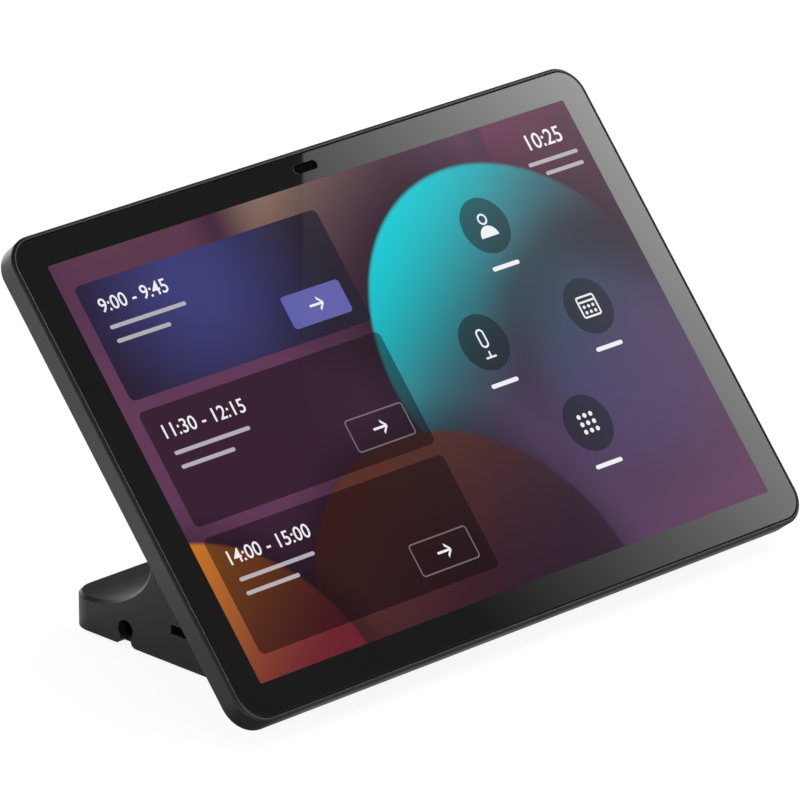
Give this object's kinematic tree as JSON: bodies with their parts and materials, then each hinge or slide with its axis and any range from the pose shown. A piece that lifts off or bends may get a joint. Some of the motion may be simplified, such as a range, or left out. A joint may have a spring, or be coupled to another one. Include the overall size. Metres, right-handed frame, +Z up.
{
  "type": "tabletop touch console",
  "caption": "Thin black-glass touch display panel leaning back on a hollow moulded stand, with a cable outlet and lock slot in the stand's side and ports behind a base cover.",
  "frame": {"origin": "on the desk, at the middle of the object's footprint", "axes": "+X to the right across the panel, +Y from the user towards the back, +Z up"},
  "size_m": [0.189, 0.0868, 0.1028],
  "materials": {
    "cover_glass": "polished black-backed glass",
    "lens": "polished dark",
    "housing_plastic": "fine matt texture",
    "stand_plastic": "fine matt texture",
    "cover_plastic": "fine matt texture",
    "adhesive_foam": "dull foam",
    "touch_film": "clear film",
    "lcd_glass": "polished",
    "backlight_white": "satin white",
    "carrier_plastic": "glass-filled, dull",
    "plate_aluminium": "stamped",
    "board_green": "solder mask",
    "chip_black": "moulded",
    "screw_steel": "zinc plated",
    "shield_steel": "tinned",
    "lock_steel": "stamped",
    "jack_plastic": "moulded",
    "contact_gold": "gold plated",
    "button_white": "moulded",
    "ferrite": "sintered",
    "can_aluminium": "drawn",
    "flex_amber": "polyimide",
    "foot_rubber": "matt"
  },
  "bodies": {
    "console": {"cover_glass": "cover_glass", "sensor_lens": "lens", "rear_housing": "housing_plastic", "stand_shell": "stand_plastic", "glass_adhesive": "adhesive_foam", "touch_sensor": "touch_film", "lcd_cell": "lcd_glass", "backlight_unit": "backlight_white", "carrier_frame": "carrier_plastic", "mid_plate": "plate_aluminium", "sensor_board": "board_green", "presence_sensor": "chip_black", "main_board": "board_green", "board_screws": "screw_steel", "processor_shield": "shield_steel", "ethernet_jack": "jack_plastic", "jack_contacts": "contact_gold", "usb_socket": "shield_steel", "usb_tongue": "chip_black", "reset_switch": "chip_black", "power_transformer": "ferrite", "bulk_capacitors": "can_aluminium", "flex_sockets": "chip_black", "display_flex": "flex_amber", "touch_flex": "flex_amber", "sensor_flex": "flex_amber", "stand_screws": "screw_steel", "lock_plate": "lock_steel"},
    "base_cover": {"base_cover": "cover_plastic", "rubber_feet": "foot_rubber"},
    "reset_button": {"reset_button": "button_white"}
  },
  "joints": [
    {"name": "base_cover_slide", "type": "slide", "parent": "console", "child": "base_cover", "axis": [0, 0, -1], "range_m": [0, 0.03]},
    {"name": "reset_button_press", "type": "slide", "parent": "console", "child": "reset_button", "axis": [0, 0.6428, 0.766], "range_m": [0, 0.0004], "stiffness_N_per_m": 1500, "springref_m": -0.0003}
  ]
}
